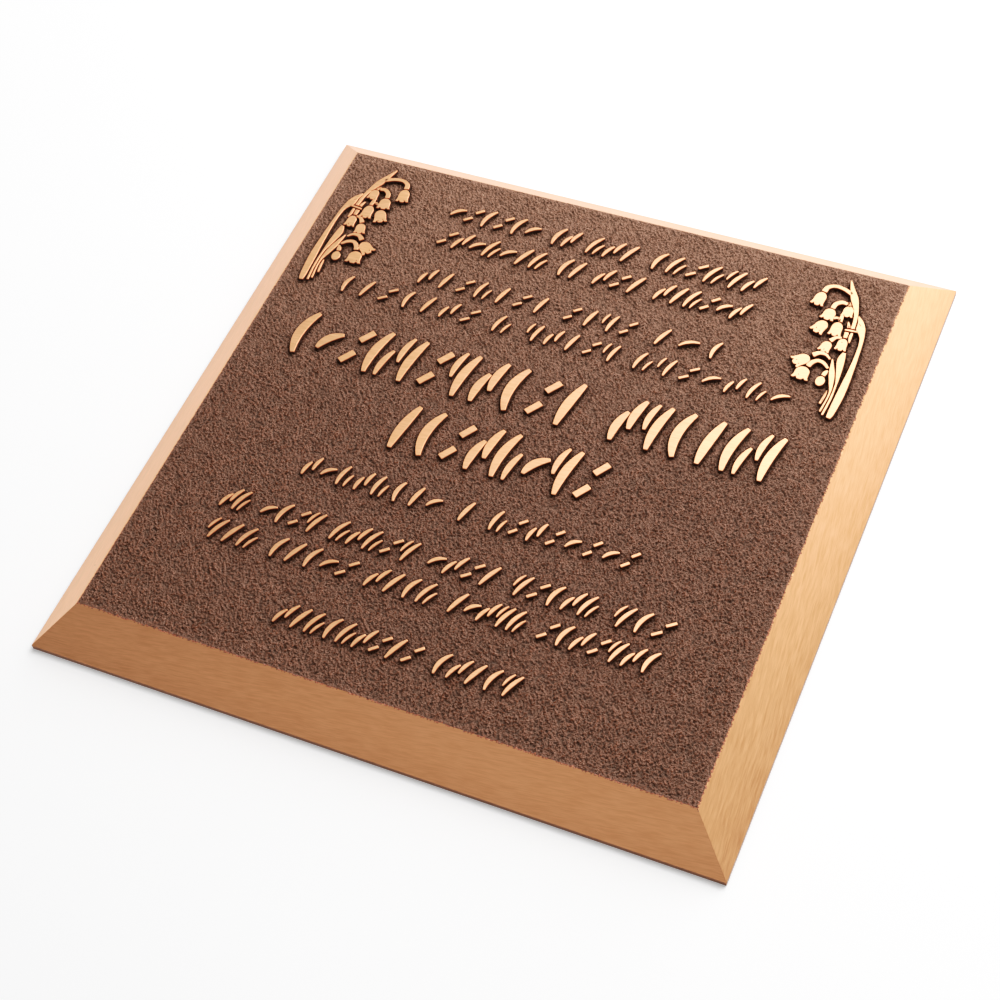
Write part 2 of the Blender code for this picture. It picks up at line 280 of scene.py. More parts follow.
# The camera's tone curve: scene light that shows as full white, and points (scene light, shown light)
TONE_WHITE = 2.15
TONE_POINTS = (
    (0.05, 0.036), (0.11, 0.087), (0.26, 0.225), (0.50, 0.43), (0.80, 0.60), (1.20, 0.765), (1.70, 0.925),
)

# Belt marks cross each side of the bevel at this angle to its foot, and waver by this much. Each kind has its
# number per metre along and across the belt, and its detail
BELT_ANGLE = math.radians(7)
BELT_WAVER = 0.006
BELT_MARKS = (110.0, 1700.0, 2.0)
BELT_LINES = (70.0, 800.0, 3.0)
BELT_BANDS = (24.0, 240.0, 2.0)

# Scales of the noises, per metre
BELT_CLOUD_SCALE = 16.0
SKIN_GRAIN_SCALE = 700.0
SKIN_CLOUD_SCALE = 26.0
PATINA_GRAIN_SCALE = 1000.0
PATINA_GRIT_SCALE = 1150.0
PATINA_CLOUD_SCALE = 26.0
WALL_GRAIN_SCALE = 1300.0
FACE_CLOUD_SCALE = 60.0
FLOOR_CLOUD_SCALE = 3.0

# Depths of the bumps that are in the materials
BEVEL_MARK_DEPTH = 0.00003
FACE_MARK_DEPTH = 0.00002
SKIN_GRAIN_DEPTH = 0.0004
PATINA_GRAIN_DEPTH = 0.0010
WALL_GRAIN_DEPTH = 0.0001

# Casting pits that the grinding opened: cells per metre, their radius, and the share of cells with one
PIT_SCALE = 120.0
PIT_RADIUS = 0.0004
PIT_SHARE = 0.03

# The foot of the bevel is painted darker than its top as painted shade, up to this slope length, and the lip is
# brown, with this blend
FOOT_SHADE_REACH = 0.014
FOOT_SHADE_SHARE = 0.10
LIP_BLEND = 0.0002
LIP_BROWN = 0.8

# Most values of a noise lie in this range
NOISE_RANGE = (0.3, 0.7)

# The stage: half the side of the floor, its two tones, the light that the floor and the world give off, and
# the soft lights that all face the middle of the marker
FLOOR_HALF = 4
FLOOR_TONES = ((0.93, 0.93, 0.93), (0.95, 0.95, 0.95))
FLOOR_LIGHT = 0.25
WORLD_LIGHT = 0.25
WHITE = (1, 1, 1, 1)
Light = namedtuple("Light", "name place size power")
LIGHTS = (
    Light("key", (0.75, 1.6, 1.05), (2.2, 1.9), 74),
    Light("high_back", (0.5, 1.1, 1.8), (1.6, 1.6), 59),
    Light("left_back", (-0.9, 1.6, 1.1), (1.8, 1.4), 8),
    Light("top", (0, 0, 2.2), (1.6, 1.6), 5),
    Light("front", (-0.1, -1.8, 1.1), (1.8, 1.4), 4),
)


class Shade:
    """A node material, with short calls for the nodes that it needs."""

    def __init__(self, name):
        self.material = bpy.data.materials.new(name)
        self.material.use_nodes = True
        self.tree = self.material.node_tree
        self.shader = self.tree.nodes["Principled BSDF"]

    def node(self, kind, inputs=None, **settings):
        made = self.tree.nodes.new(kind)
        for setting, value in settings.items():
            setattr(made, setting, value)
        for socket, value in (inputs or {}).items():
            self.feed(made.inputs[socket], value)
        return made

    def feed(self, socket, value):
        if isinstance(value, bpy.types.NodeSocket):
            self.tree.links.new(value, socket)
        else:
            socket.default_value = value

    def math(self, operation, *values, clamp=False):
        made = self.node("ShaderNodeMath", dict(enumerate(values)), operation=operation, use_clamp=clamp)
        return made.outputs[0]

    def vector(self, x, y, z):
        return self.node("ShaderNodeCombineXYZ", {0: x, 1: y, 2: z}).outputs[0]

    def noise(self, where, scale, detail=2.0, roughness=0.5):
        inputs = {"Vector": where, "Scale": scale, "Detail": detail, "Roughness": roughness}
        return self.node("ShaderNodeTexNoise", inputs).outputs[0]

    def span(self, value, low, high, start=0.0, end=1.0):
        inputs = {"Value": value, "From Min": low, "From Max": high, "To Min": start, "To Max": end}
        return self.node("ShaderNodeMapRange", inputs).outputs[0]

    def stretch(self, noise, start=0.0, end=1.0):
        return self.span(noise, *NOISE_RANGE, start, end)

    def mix(self, share, first, second):
        made = self.node("ShaderNodeMix", {0: share}, data_type="RGBA")
        for socket, colour in ((made.inputs[6], first), (made.inputs[7], second)):
            self.feed(socket, colour if isinstance(colour, bpy.types.NodeSocket) else (*colour, 1.0))
        return made.outputs[2]

    def blend(self, share, first, second):
        return self.node("ShaderNodeMix", {0: share, 2: first, 3: second}).outputs[0]

    def bump(self, height, distance, strength=1.0, normal=None):
        inputs = {"Height": height, "Distance": distance, "Strength": strength}
        if normal is not None:
            inputs["Normal"] = normal
        return self.node("ShaderNodeBump", inputs).outputs[0]

    def place(self):
        """The object's own coordinates, and their x, y and z."""
        where = self.node("ShaderNodeTexCoord").outputs["Object"]
        split = self.node("ShaderNodeSeparateXYZ", {0: where}).outputs
        return where, split[0], split[1], split[2]

    def finish(self, colour, roughness, normal, metallic=1.0, **sockets):
        self.feed(self.shader.inputs["Base Color"], colour)
        self.feed(self.shader.inputs["Roughness"], roughness)
        self.feed(self.shader.inputs["Metallic"], metallic)
        if normal is not None:
            self.feed(self.shader.inputs["Normal"], normal)
        for socket, value in sockets.items():
            self.feed(self.shader.inputs[socket.replace("_", " ")], value)
        return self.material


def linished(shade, where, along, up):
    """Bright satin bronze with fine belt marks: its colour, roughness and bump."""
    cosine, sine = math.cos(BELT_ANGLE), math.sin(BELT_ANGLE)
    clouds = shade.noise(where, BELT_CLOUD_SCALE, 3.0, 0.55)
    run = shade.math("ADD", shade.math("MULTIPLY", along, cosine), shade.math("MULTIPLY", up, sine))
    cross = shade.math("SUBTRACT", shade.math("MULTIPLY", up, cosine), shade.math("MULTIPLY", along, sine))
    cross = shade.math("MULTIPLY_ADD", clouds, BELT_WAVER, cross)

    def streaks(run_scale, cross_scale, detail):
        stretched = shade.vector(
            shade.math("MULTIPLY", run, run_scale), shade.math("MULTIPLY", cross, cross_scale), 0.0)
        return shade.noise(stretched, 1.0, detail, 0.6)

    marks = streaks(*BELT_MARKS)
    lines = streaks(*BELT_LINES)
    bands = streaks(*BELT_BANDS)
    tone = shade.math("ADD", shade.stretch(lines, -0.45, 0.45), shade.stretch(bands, -0.1, 0.1))
    tone = shade.math("ADD", tone, shade.stretch(clouds, -0.12, 0.12))
    tone = shade.math("ADD", tone, shade.stretch(marks))
    colour = shade.mix(tone, WORN_BRONZE, LIGHT_BRONZE)
    pits = shade.node("ShaderNodeTexVoronoi", {"Vector": where, "Scale": PIT_SCALE}).outputs
    pit = shade.math("LESS_THAN", pits["Distance"], PIT_RADIUS * PIT_SCALE)
    chance = shade.node("ShaderNodeSeparateColor", {0: pits["Color"]}).outputs[0]
    rare = shade.math("LESS_THAN", chance, PIT_SHARE)
    colour = shade.mix(shade.math("MULTIPLY", pit, rare), colour, DARK_PATINA)
    roughness = shade.stretch(lines, 0.37, 0.45)
    return colour, roughness, shade.math("ADD", marks, lines)


def side_places(shade, x, y):
    """How far anticlockwise along its side a point of the bevel lies, how far up the slope, and how far
    from the middle of the square."""
    size_x = shade.math("ABSOLUTE", x)
    size_y = shade.math("ABSOLUTE", y)
    on_end = shade.math("GREATER_THAN", size_x, size_y)
    along_end = shade.math("MULTIPLY", y, shade.math("SIGN", x))
    along_front = shade.math("MULTIPLY", x, shade.math("MULTIPLY", shade.math("SIGN", y), -1.0))
    out = shade.math("MAXIMUM", size_x, size_y)
    stretch = math.hypot(1, BEVEL_SLOPE)
    up = shade.math("MULTIPLY_ADD", out, -stretch, SIDE / 2 * stretch)
    return shade.blend(on_end, along_front, along_end), up, out


def bevel_material():
    """Satin bronze, painted darker at its foot as painted shade, with a brown lip."""
    shade = Shade("satin_bronze_bevel")
    where, x, y, z = shade.place()
    along, up, _ = side_places(shade, x, y)
    colour, roughness, marks = linished(shade, where, along, up)
    # Painted shade: the bevel darkens towards its foot
    colour = shade.mix(shade.span(up, 0.0, FOOT_SHADE_REACH, FOOT_SHADE_SHARE, 0.0), colour, BROWN_PATINA)
    lip = shade.span(z, LIP_HEIGHT - LIP_BLEND, LIP_HEIGHT + LIP_BLEND, LIP_BROWN, 0.0)
    colour = shade.mix(lip, colour, BROWN_PATINA)
    normal = shade.bump(marks, BEVEL_MARK_DEPTH, 0.5)
    return shade.finish(colour, roughness, normal)


def back_material():
    """As cast, with its skin of foundry scale."""
    shade = Shade("cast_bronze_back")
    where, _, _, _ = shade.place()
    grains = shade.noise(where, SKIN_GRAIN_SCALE, 4.0, 0.65)
    clouds = shade.noise(where, SKIN_CLOUD_SCALE, 4.0, 0.6)
    colour = shade.mix(shade.span(clouds, 0.35, 0.65), DARK_SKIN, PALE_SKIN)
    roughness = shade.stretch(grains, 0.5, 0.72)
    return shade.finish(colour, roughness, shade.bump(grains, SKIN_GRAIN_DEPTH, 0.7), SKIN_METALLIC)


def ground_material():
    """Brown patina, worn on the crests, darkened round the relief by patina and painted shade, and painted
    paler towards the head as painted sheen, with the bright bevel past its border.
    """
    shade = Shade("brown_patina_ground")
    where, x, y, z = shade.place()
    along, up, out = side_places(shade, x, y)
    bright, bright_roughness, marks = linished(shade, where, along, up)

    height = shade.math("SUBTRACT", z, PANEL_HEIGHT)
    fine = shade.noise(where, PATINA_GRAIN_SCALE, 3.0, 0.65)
    cells = shade.node("ShaderNodeTexVoronoi", {"Vector": where, "Scale": PATINA_GRIT_SCALE})
    grit = cells.outputs["Distance"]
    clouds = shade.noise(where, PATINA_CLOUD_SCALE, 4.0, 0.6)
    crest = shade.span(height, *CREST_HEIGHTS)
    crest = shade.math("ADD", crest, shade.stretch(fine, -0.15, 0.15))
    crest = shade.math("ADD", crest, shade.span(grit, 0.15, 0.65, 0.15, -0.15), clamp=True)
    patina = shade.mix(crest, PIT_PATINA, RUBBED_PATINA)
    patina = shade.mix(shade.stretch(clouds, 0.05, 0.35), patina, BROWN_PATINA)
    # Painted sheen: the patina is painted paler towards the head, where the lamps behind light the ground
    patina = shade.mix(shade.span(y, BACK_SHEEN_START, BACK_SHEEN_END, 0.0, BACK_SHEEN_SHARE), patina, BACK_SHEEN_PATINA)
    # Painted shade: the ground darkens round the relief, partly real patina and partly shade at the foot of its
    # walls
    patina_and_shade = shade.node("ShaderNodeAttribute", attribute_name="patina_and_shade").outputs["Fac"]
    patina = shade.mix(shade.math("MULTIPLY", patina_and_shade, PATINA_SHADE_DARKNESS), patina, DARK_PATINA)
    rough_patina = shade.span(crest, 0.2, 0.9, 0.56, 0.25)

    plane = shade.math("MULTIPLY_ADD", out, -BEVEL_SLOPE, LIP_HEIGHT + BEVEL_SLOPE * SIDE / 2)
    below = shade.math("SUBTRACT", plane, z)
    rough = shade.span(below, *PATINA_DEPTHS)
    edge = shade.span(below, *BORDER_RED, 1.0, 0.0)
    patina = shade.mix(shade.math("MULTIPLY", edge, BORDER_RED_SHARE), patina, RED_EDGE)
    colour = shade.mix(rough, bright, patina)
    roughness = shade.blend(rough, bright_roughness, rough_patina)
    # The painted shade round the relief also makes the ground metallic with the dark patina, which darkens it
    # further
    metallic = shade.blend(rough, 1.0, shade.span(patina_and_shade, 0.0, 1.0, PATINA_METALLIC, PATINA_SHADE_METALLIC))
    skin = shade.math("MULTIPLY_ADD", grit, -0.5, fine)
    normal = shade.bump(shade.math("MULTIPLY", skin, rough), PATINA_GRAIN_DEPTH)
    bare_marks = shade.math("MULTIPLY", marks, shade.math("SUBTRACT", 1.0, rough))
    normal = shade.bump(bare_marks, BEVEL_MARK_DEPTH, 0.5, normal)
    return shade.finish(
        colour, roughness, normal, metallic,
        IOR=PATINA_IOR, Specular_IOR_Level=1.0, Specular_Tint=PATINA_TINT)


def relief_material():
    """Faces ground bright, a red line under their arrises, and walls left dark."""
    shade = Shade("ground_bright_relief")
    where, x, y, z = shade.place()
    bright, bright_roughness, marks = linished(shade, where, x, y)
    face = PANEL_HEIGHT + RELIEF
    fine = shade.noise(where, WALL_GRAIN_SCALE, 3.0, 0.6)
    clouds = shade.noise(where, FACE_CLOUD_SCALE, 3.0, 0.6)
    bright = shade.mix(shade.stretch(clouds, 0.07, 0.19), bright, FACE_TARNISH)
    wall = shade.mix(shade.span(fine, 0.3, 0.8), DARK_PATINA, BROWN_PATINA)
    red = shade.span(z, *(face - depth for depth in RED_DEPTHS))
    top = shade.span(z, *(face - depth for depth in BRIGHT_DEPTHS))
    colour = shade.mix(top, shade.mix(red, wall, RED_EDGE), bright)
    roughness = shade.blend(top, 0.6, bright_roughness)
    metallic = shade.span(z, *(face - depth for depth in METAL_DEPTHS))
    normal = shade.bump(shade.math("MULTIPLY", fine, shade.math("SUBTRACT", 1.0, top)), WALL_GRAIN_DEPTH, 0.6)
    normal = shade.bump(shade.math("MULTIPLY", marks, top), FACE_MARK_DEPTH, 0.4, normal)
    return shade.finish(colour, roughness, normal, metallic)


def floor_material():
    shade = Shade("pale_floor")
    where, _, _, _ = shade.place()
    tone = shade.stretch(shade.noise(where, FLOOR_CLOUD_SCALE))
    colour = shade.mix(tone, *FLOOR_TONES)
    return shade.finish(colour, 0.6, None, 0.0, Emission_Color=WHITE, Emission_Strength=FLOOR_LIGHT)


def add_piece(name, mesh, materials):
    piece = bpy.data.objects.new(name, mesh)
    for material in materials:
        mesh.materials.append(material)
    bpy.context.scene.collection.objects.link(piece)
    return piece


def mount_piece(piece):
    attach(piece, "root")
    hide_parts(NODE)


def apply_modifiers(piece):
    bpy.context.view_layer.update()
    evaluated = piece.evaluated_get(bpy.context.evaluated_depsgraph_get())
    mesh = bpy.data.meshes.new_from_object(evaluated)
    piece.modifiers.clear()
    piece.data = mesh


def square_corners(half, height):
    return [(x, y, height) for x, y in ((-half, -half), (half, -half), (half, half), (-half, half))]


def square_ring(shape, half, height):
    return [shape.verts.new(corner) for corner in square_corners(half, height)]


def bridge_rings(shape, first, second):
    return [shape.faces.new((first[i], first[(i + 1) % 4], second[(i + 1) % 4], second[i])) for i in range(4)]


def make_casting(materials):
    """The lip, the bevel, and the hollow back with its fillets; its top lies under the rough ground."""
    half = SIDE / 2
    ceiling = PANEL_HEIGHT - PLATE_THICKNESS
    mouth = half - RIM_WIDTH
    shape = bmesh.new()
    foot = square_ring(shape, half, 0)
    lip = square_ring(shape, half, LIP_HEIGHT)
    top = square_ring(shape, GROUND_HALF, GROUND_BASE)
    hollow_foot = square_ring(shape, mouth, 0)
    hollow_top = square_ring(shape, mouth - ceiling / BEVEL_SLOPE, ceiling)
    bridge_rings(shape, foot, lip)
    bridge_rings(shape, lip, top)
    for edge in shape.faces.new(top).edges:
        edge.smooth = False
    back = bridge_rings(shape, hollow_foot, foot)
    back += bridge_rings(shape, hollow_top, hollow_foot)
    back.append(shape.faces.new(hollow_top[::-1]))
    for face in shape.faces:
        face.smooth = True
    for face in back:
        face.material_index = 1
    fillets = [edge for edge in shape.edges if all(vert in hollow_top for vert in edge.verts)]
    fillets += [shape.edges.get(pair) for pair in zip(hollow_foot, hollow_top)]
    bmesh.ops.bevel(
        shape, geom=fillets, offset=HOLLOW_FILLET, segments=FILLET_SEGMENTS, profile=0.5, affect="EDGES",
        material=1)
    mesh = bpy.data.meshes.new("bronze_casting")
    shape.to_mesh(mesh)
    shape.free()
    piece = add_piece("bronze_casting", mesh, materials)
    arrises = piece.modifiers.new("arrises", "BEVEL")
    arrises.width = ARRIS
    arrises.segments = ARRIS_SEGMENTS
    arrises.angle_limit = ARRIS_ANGLE
    arrises.harden_normals = True
    apply_modifiers(piece)
    mount_piece(piece)


def filtered_noise(dice, count, step, shortest, longest):
    """Waves of all directions between two lengths, with a spread of 1."""
    spectrum = np.fft.rfft2(dice.standard_normal((count, count)))
    frequency = np.hypot(np.fft.fftfreq(count, step)[:, None], np.fft.rfftfreq(count, step)[None, :])
    band = np.exp(-(frequency * shortest) ** 2) * (1 - np.exp(-(frequency * longest) ** 2))
    noise = np.fft.irfft2(spectrum * band, s=(count, count))
    return noise / noise.std()


def ground_surface(places):
    """Heights and normals of the pebbled ground, cut off by the plane of the bevel at its edge. Rows run
    along y."""
    count = len(places)
    step = places[1] - places[0]
    dice = np.random.default_rng(GROUND_SEED)
    pebbles = filtered_noise(dice, count, step, *PEBBLE_WAVES)
    wrinkles = np.abs(filtered_noise(dice, count, step, *WRINKLE_WAVES))
    swell = filtered_noise(dice, count, step, *SWELL_WAVES)
    folds = WRINKLE_CREST - np.minimum(wrinkles, WRINKLE_FALL)
    rise = GROUND_RISE * (pebbles + WRINKLE_SHARE * folds + SWELL_SHARE * swell)
    size_y, size_x = np.abs(places)[:, None], np.abs(places)[None, :]
    inside = GROUND_HALF - GROUND_OVERLAP - np.maximum(size_x, size_y)
    rise *= 1 - BORDER_CALM * np.exp(-np.maximum(inside, 0) / BORDER_REACH)
    heights = np.maximum(PANEL_HEIGHT - GROUND_SINK + rise, GROUND_BASE + GROUND_LEAST)
    slope_y, slope_x = np.gradient(heights, places, places)
    plane = LIP_HEIGHT + (SIDE / 2 - np.maximum(size_x, size_y)) * BEVEL_SLOPE
    cut = plane < heights
    on_end = size_x > size_y
    fall = -BEVEL_SLOPE * np.sign(places)
    slope_x = np.where(cut, np.where(on_end, fall[None, :], 0.0), slope_x)
    slope_y = np.where(cut, np.where(on_end, 0.0, fall[:, None]), slope_y)
    normals = np.dstack((-slope_x, -slope_y, np.ones_like(heights)))
    return np.minimum(heights, plane), normals / np.linalg.norm(normals, axis=2, keepdims=True)


def covered(outlines, places):
    """1 where a point of the grid lies under one of the outlines, else 0."""
    under = np.zeros((len(places), len(places)))
    for outline in outlines:
        points = np.array([point * UNIT for point in outline])
        low = np.searchsorted(places, points.min(axis=0))
        high = np.searchsorted(places, points.max(axis=0))
        x, y = np.meshgrid(places[low[0]:high[0]], places[low[1]:high[1]])
        inside = np.zeros(x.shape, dtype=bool)
        for (x1, y1), (x2, y2) in zip(points, np.roll(points, -1, axis=0)):
            if y1 != y2:
                inside ^= ((y1 > y) != (y2 > y)) & (x < (x2 - x1) * (y - y1) / (y2 - y1) + x1)
        under[low[1]:high[1], low[0]:high[0]] += inside
    return np.minimum(under, 1.0)


def spread(under, step, radius):
    """The grid's values, spread like a soft brush of that radius."""
    rows, columns = under.shape
    frequency = np.hypot(np.fft.fftfreq(rows, step)[:, None], np.fft.rfftfreq(columns, step)[None, :])
    brush = np.exp(-2 * (math.pi * frequency * radius) ** 2)
    return np.fft.irfft2(np.fft.rfft2(under) * brush, s=under.shape)


def make_ground(material, outlines):
    places = np.linspace(-GROUND_HALF, GROUND_HALF, GROUND_CELLS + 1)
    heights, normals = ground_surface(places)
    # The darkening round the relief: partly real patina, partly painted shade
    patina_and_shade = np.clip(PATINA_SHADE_GAIN * spread(covered(outlines, places), places[1] - places[0], PATINA_SHADE_SPREAD), 0, 1)
    middle = GROUND_CELLS // 2
    halves = (slice(0, middle + 1), slice(middle, GROUND_CELLS + 1))
    for number, part in enumerate(((a, b) for a in halves for b in halves), start=1):
        tile = make_ground_tile(f"rough_ground_{number}", places, heights, normals, *part, material)
        values = np.zeros(len(tile.data.vertices), dtype=np.float32)
        values[:patina_and_shade[part].size] = patina_and_shade[part].ravel()
        tile.data.attributes.new("patina_and_shade", "FLOAT", "POINT").data.foreach_set("value", values)
        mount_piece(tile)


def make_ground_tile(name, places, heights, normals, rows, columns, material):
    """A quarter of the ground, closed by a flat underside on the casting and walls along the joints."""
    tall = heights[rows, columns]
    grid_x, grid_y = np.meshgrid(places[columns], places[rows])
    top = np.column_stack((grid_x.ravel(), grid_y.ravel(), tall.ravel()))
    index = np.arange(top.shape[0]).reshape(tall.shape)
    quads = np.stack((index[:-1, :-1], index[:-1, 1:], index[1:, 1:], index[1:, :-1]), axis=-1).reshape(-1, 4)
    border = np.concatenate((index[0, :-1], index[:-1, -1], index[-1, :0:-1], index[:0:-1, 0]))
    raised = top[border, 2] > GROUND_BASE + HEIGHT_TOLERANCE
    feet = {}
    points = [tuple(point) for point in top]
    directions = [tuple(normal) for normal in normals[rows, columns].reshape(-1, 3)]
    for vertex in border[raised]:
        feet[vertex] = len(points)
        points.append((top[vertex, 0], top[vertex, 1], GROUND_BASE))
        directions.append((0.0, 0.0, -1.0))
    faces = [tuple(quad) for quad in quads.tolist()]
    underside = [feet.get(vertex, vertex) for vertex in border]
    for here, there in zip(border, np.roll(border, -1)):
        wall = [there, here]
        if here in feet:
            wall.append(feet[here])
        if there in feet:
            wall.append(feet[there])
        if len(wall) > 2:
            faces.append(tuple(int(vertex) for vertex in wall))
    faces.append(tuple(int(vertex) for vertex in underside[::-1]))
    mesh = bpy.data.meshes.new(name)
    mesh.from_pydata(points, [], faces)
    mesh.update()
    mesh.shade_smooth()
    mesh.normals_split_custom_set_from_vertices(directions)
    return add_piece(name, mesh, [material])


def smooth_points(points, stations):
    """Evenly spaced stations on the smooth curve that runs through all the points."""
    knots = [Vector(point) for point in points]
    knots = [2 * knots[0] - knots[1], *knots, 2 * knots[-1] - knots[-2]]
    spans = len(points) - 1
    for station in range(stations):
        along = station * spans / (stations - 1)
        span = min(int(along), spans - 1)
        t = along - span
        before, start, end, after = knots[span:span + 4]
        bend = (2 * before - 5 * start + 4 * end - after) * t * t
        twist = (3 * start - before - 3 * end + after) * t * t * t
        yield start + ((end - before) * t + bend + twist) / 2


def ribbon_outline(middle):
    """The outline of a ribbon from the points (x, y, width) of its middle."""
    left = []
    right = []
    for index, point in enumerate(middle):
        ahead = middle[min(index + 1, len(middle) - 1)].xy
        behind = middle[max(index - 1, 0)].xy
        side = (ahead - behind).orthogonal().normalized() * point.z / 2
        left.append(point.xy + side)
        right.append(point.xy - side)
    return left + right[::-1]


def stroke_outline(stroke, corner, width, row):
    """A bowed stroke of a figure, thickest at its middle, in the place whose lower left is the corner."""
    def in_row(share):
        up = share[1] * row.height
        return Vector((corner + share[0] * width + up * row.lean, row.foot + up))

    foot = in_row(stroke.foot)
    head = in_row(stroke.head)
    bow = (head - foot).orthogonal() * stroke.bow
    stations = STROKE_STATIONS if stroke.bow else 2
    middle = []
    for station in range(stations):
        t = station / (stations - 1)
        swell = 4 * t * (1 - t)
        point = foot.lerp(head, t) + bow * swell
        thickness = stroke.weight * STROKE_WEIGHT * row.height * (STROKE_END + (1 - STROKE_END) * swell)
        middle.append(Vector((*point, thickness)))
    return ribbon_outline(middle)


def row_outlines(row, order):
    """The outlines of one row's strokes, with its groups side by side and the whole row centred."""
    length = sum(width for _, width in row.groups) + row.gap * (len(row.groups) - 1)
    start = -(length + row.height * row.lean) / 2
    figure = FIGURES[0]
    outlines = []
    for places, group_width in row.groups:
        pitch = group_width / places
        for place in range(places):
            figure = order.choice([other for other in FIGURES if other is not figure])
            corner = start + (place + (1 - PLACE_FILL) / 2) * pitch
            outlines += [stroke_outline(stroke, corner, PLACE_FILL * pitch, row) for stroke in figure]
        start += group_width + row.gap
    return outlines


def turned(point, angle):
    """The point turned anticlockwise about the origin."""
    return Vector((
        point.x * math.cos(angle) - point.y * math.sin(angle),
        point.x * math.sin(angle) + point.y * math.cos(angle),
    ))


def in_place(points, flower):
    """The points of a flower, turned and moved to its place."""
    turn = -math.radians(flower.turn)
    return [turned(point, turn) + Vector((flower.x, flower.y)) for point in points]


def flower_outline(flower):
    """A hanging flower from its crown, anticlockwise down to its lobed mouth and back."""
    half_crown = CROWN_WIDTH * flower.width / 2
    depth = CROWN_DEPTH * flower.length
    shape = []
    for step in range(CROWN_POINTS):
        angle = math.pi * step / (CROWN_POINTS - 1)
        shape.append(Vector((-half_crown * math.cos(angle), depth * (math.sin(angle) - 1))))
    shape += [Vector((across * flower.width, -down * flower.length)) for across, down in MOUTH]
    return in_place(shape, flower)


def bud_outline(bud):
    """A closed oval bud."""
    centre = Vector((0, -bud.length / 2))
    shape = []
    for step in range(BUD_POINTS):
        angle = 2 * math.pi * (step + 0.5) / BUD_POINTS
        shape.append(centre + Vector((math.sin(angle) * bud.width / 2, math.cos(angle) * bud.length / 2)))
    return in_place(shape, bud)


def soften(outline, radius):
    """The outline with its sharp corners rounded off."""
    soft = []
    for index, point in enumerate(outline):
        behind = outline[index - 1] - point
        ahead = outline[(index + 1) % len(outline)] - point
        turn = math.pi - behind.angle(ahead)
        if turn < ROUNDED_TURN:
            soft.append(point)
            continue
        start = point + behind.normalized() * min(radius, ROUNDED_SHARE * behind.length)
        end = point + ahead.normalized() * min(radius, ROUNDED_SHARE * ahead.length)
        for t in (0.0, 1 / 3, 2 / 3, 1.0):
            soft.append(start.lerp(point, t).lerp(point.lerp(end, t), t))
    return soft


def inward_steps(outline):
    """For each point of an anticlockwise outline, the step that moves both its edges in by 1."""
    steps = []
    for index, point in enumerate(outline):
        before = (point - outline[index - 1]).normalized()
        after = (outline[(index + 1) % len(outline)] - point).normalized()
        normal = Vector((-before.y - after.y, before.x + after.x)).normalized()
        cosine = max(normal.dot(Vector((-before.y, before.x))), LEAST_COSINE)
        steps.append(normal / cosine)
    return steps


def relief_rings():
    """Inset and height of each ring from the foot of a wall to its face."""
    face = PANEL_HEIGHT + RELIEF
    foot = PANEL_HEIGHT - RELIEF_ROOT
    shoulder = face - RELIEF_ARRIS
    rings = [(-(shoulder - foot) * WALL_FLARE, foot), (0.0, shoulder)]
    for angle in (math.radians(30), math.radians(60), math.radians(90)):
        rings.append((RELIEF_ARRIS * (1 - math.cos(angle)), shoulder + RELIEF_ARRIS * math.sin(angle)))
    return rings


def signed_area(outline):
    return sum(a.cross(b) for a, b in zip(outline, outline[1:] + outline[:1])) / 2


def solids_over(outlines, rings):
    """Closed solids over the outlines, with the given inset and height of each ring from foot to face."""
    shape = bmesh.new()
    for outline in outlines:
        if signed_area(outline) < 0:
            outline = outline[::-1]
        outline = [point * UNIT for point in outline]
        steps = inward_steps(outline)
        loops = []
        for inset, height in rings:
            points = [point + step * inset for point, step in zip(outline, steps)]
            loops.append([shape.verts.new((*point, height)) for point in points])
        for lower, upper in zip(loops, loops[1:]):
            for i in range(len(lower)):
                j = (i + 1) % len(lower)
                shape.faces.new((lower[i], lower[j], upper[j], upper[i]))
        shape.faces.new(loops[-1])
        shape.faces.new(loops[0][::-1])
    return shape


def finish_relief(mesh):
    """Smooth walls and arrises round flat faces."""
    shape = bmesh.new()
    shape.from_mesh(mesh)
    for face in shape.faces:
        face.smooth = True
    for edge in shape.edges:
        flats = [abs(face.normal.z) > FLAT_NORMAL for face in edge.link_faces]
        edge.smooth = any(flats) == all(flats) and edge.calc_face_angle(0) < SHARP_ANGLE
    shape.to_mesh(mesh)
    shape.free()


def make_relief(name, outlines, corner, material, cuts=()):
    """The raised shapes over the outlines; where there are cuts, they are joined where they meet and cut by the
    outlines of the cuts.
    """
    shape = solids_over([soften(outline, corner) for outline in outlines], relief_rings())
    mesh = bpy.data.meshes.new(name)
    shape.to_mesh(mesh)
    shape.free()
    piece = add_piece(name, mesh, [material])
    if cuts:
        face = PANEL_HEIGHT + RELIEF
        shape = solids_over(cuts, ((0.0, face - GROOVE_DEPTH), (0.0, face + GROOVE_DEPTH)))
        cutter_mesh = bpy.data.meshes.new(name + "_cuts")
        shape.to_mesh(cutter_mesh)
        shape.free()
        cutter = add_piece(name + "_cuts", cutter_mesh, [material])
        joined = piece.modifiers.new("cuts", "BOOLEAN")
        joined.operation = "DIFFERENCE"
        joined.solver = "EXACT"
        joined.use_self = True
        joined.object = cutter
        apply_modifiers(piece)
        bpy.data.objects.remove(cutter)
    finish_relief(piece.data)
    mount_piece(piece)


def crown_groove(flower):
    """A narrow curved cut just outside a flower's crown, where its stalk meets it."""
    half_crown = CROWN_WIDTH * flower.width / 2 + GROOVE_WIDTH / 2
    depth = CROWN_DEPTH * flower.length
    rise = depth + GROOVE_WIDTH / 2
    middle = []
    for step in range(GROOVE_POINTS):
        angle = math.radians(GROOVE_START + GROOVE_SWEEP * step / (GROOVE_POINTS - 1))
        middle.append(Vector((-half_crown * math.cos(angle), rise * math.sin(angle) - depth)))
    return ribbon_outline([Vector((*point, GROOVE_WIDTH)) for point in in_place(middle, flower)])


